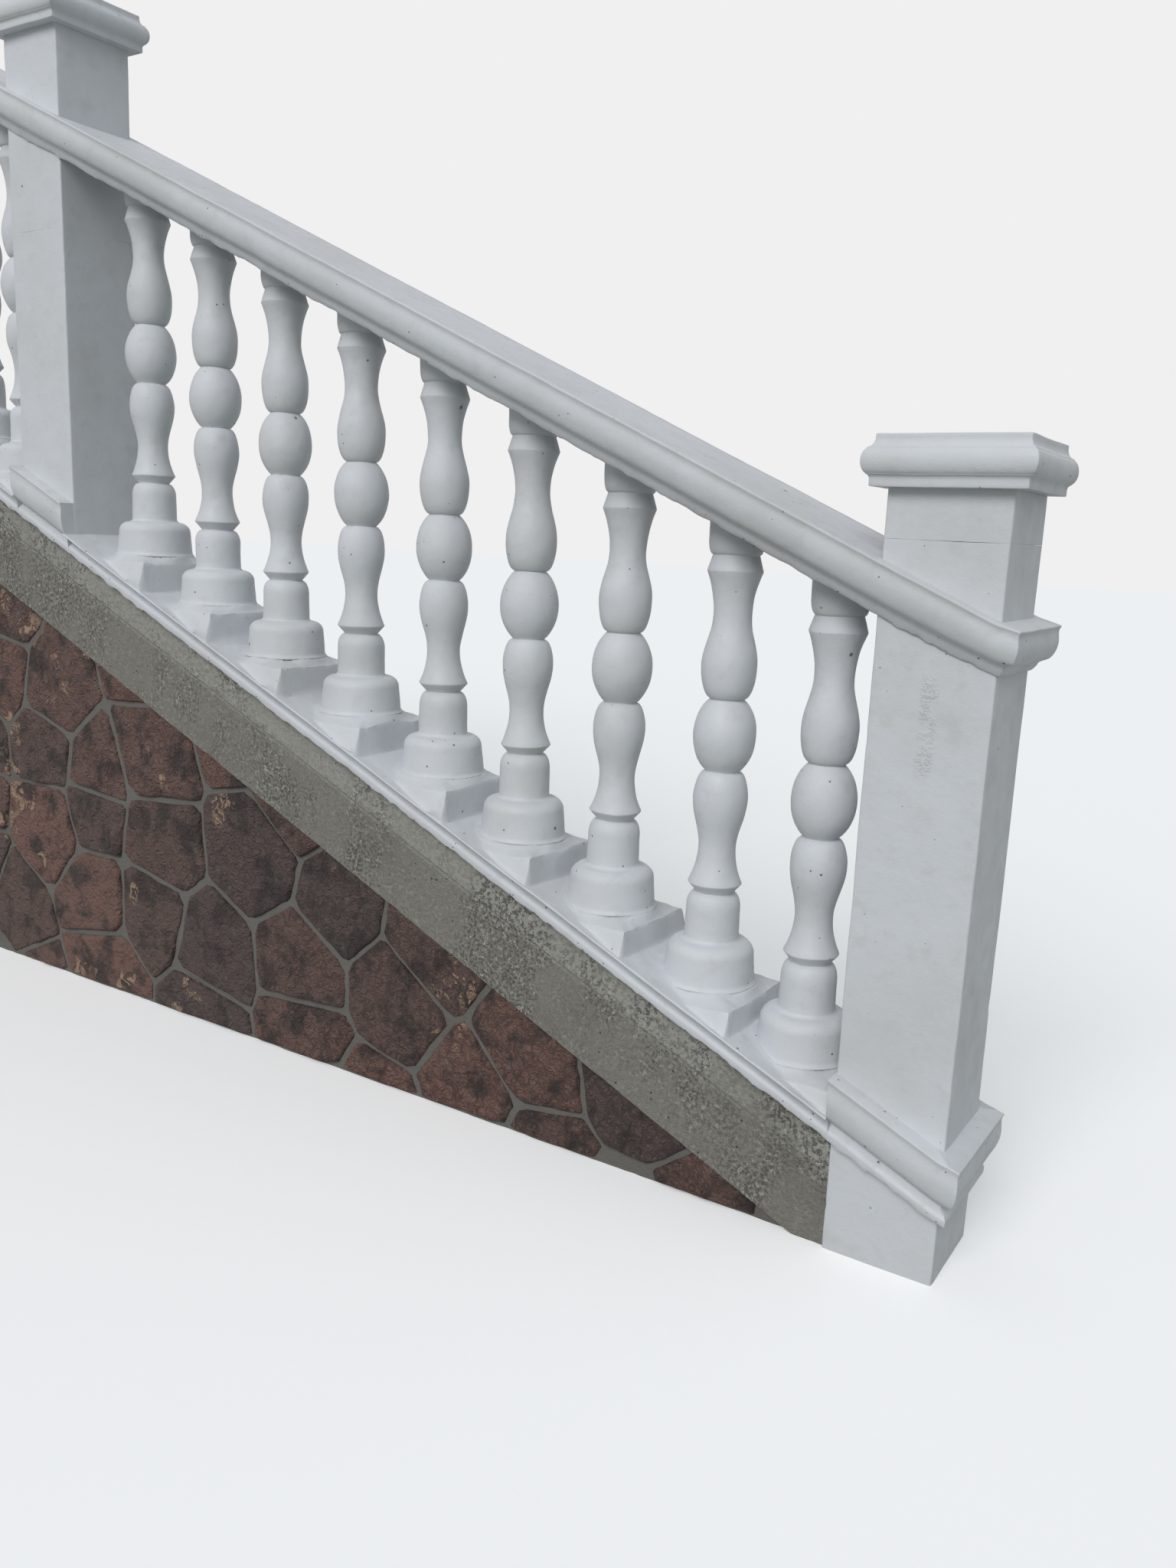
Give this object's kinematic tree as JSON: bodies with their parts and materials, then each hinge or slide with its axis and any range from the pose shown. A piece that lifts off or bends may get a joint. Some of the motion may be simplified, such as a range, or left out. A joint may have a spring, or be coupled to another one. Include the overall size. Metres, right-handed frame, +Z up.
{
  "type": "raking stone balustrade",
  "caption": "Raking stair balustrade of turned cast stone balusters between square capped newels, on a concrete band and rubble string wall.",
  "frame": {"origin": "centre of the bounding box in plan, on the ground under the string wall", "axes": "+X down the stair, +Y towards the steps, +Z up; the garden side faces -Y"},
  "size_m": [6.046, 0.346, 4.287],
  "materials": {
    "white_painted_stone": "masonry paint on cast stone, slightly chalky, fine pinholes, chipped arrises",
    "grey_concrete": "weathered rough concrete with exposed aggregate",
    "rubble_stone": "split rubble stone in wide cement pointing"
  },
  "bodies": {
    "root": {"bottom_newel_pedestal": "white_painted_stone", "top_newel_shaft": "white_painted_stone", "middle_newel_shaft": "white_painted_stone", "bottom_newel_shaft": "white_painted_stone", "top_newel_head": "white_painted_stone", "middle_newel_head": "white_painted_stone", "bottom_newel_head": "white_painted_stone", "top_newel_cap": "white_painted_stone", "middle_newel_cap": "white_painted_stone", "bottom_newel_cap": "white_painted_stone", "top_newel_rail_moulding": "white_painted_stone", "middle_newel_rail_moulding": "white_painted_stone", "bottom_newel_rail_moulding": "white_painted_stone", "top_newel_base_moulding": "white_painted_stone", "middle_newel_base_moulding": "white_painted_stone", "bottom_newel_base_moulding": "white_painted_stone", "lower_handrail": "white_painted_stone", "upper_handrail": "white_painted_stone", "lower_base_rail": "white_painted_stone", "upper_base_rail": "white_painted_stone", "lower_baluster_1": "white_painted_stone", "lower_baluster_2": "white_painted_stone", "lower_baluster_3": "white_painted_stone", "lower_baluster_4": "white_painted_stone", "lower_baluster_5": "white_painted_stone", "lower_baluster_6": "white_painted_stone", "lower_baluster_7": "white_painted_stone", "lower_baluster_8": "white_painted_stone", "lower_baluster_9": "white_painted_stone", "upper_baluster_1": "white_painted_stone", "upper_baluster_2": "white_painted_stone", "upper_baluster_3": "white_painted_stone", "upper_baluster_4": "white_painted_stone", "upper_baluster_5": "white_painted_stone", "upper_baluster_6": "white_painted_stone", "upper_baluster_7": "white_painted_stone", "upper_baluster_8": "white_painted_stone", "upper_baluster_9": "white_painted_stone", "lower_bedding_mortar": "white_painted_stone", "upper_bedding_mortar": "white_painted_stone", "lower_concrete_band": "grey_concrete", "upper_concrete_band": "grey_concrete", "lower_rubble_wall": "rubble_stone", "upper_rubble_wall": "rubble_stone"}
  },
  "joints": []
}
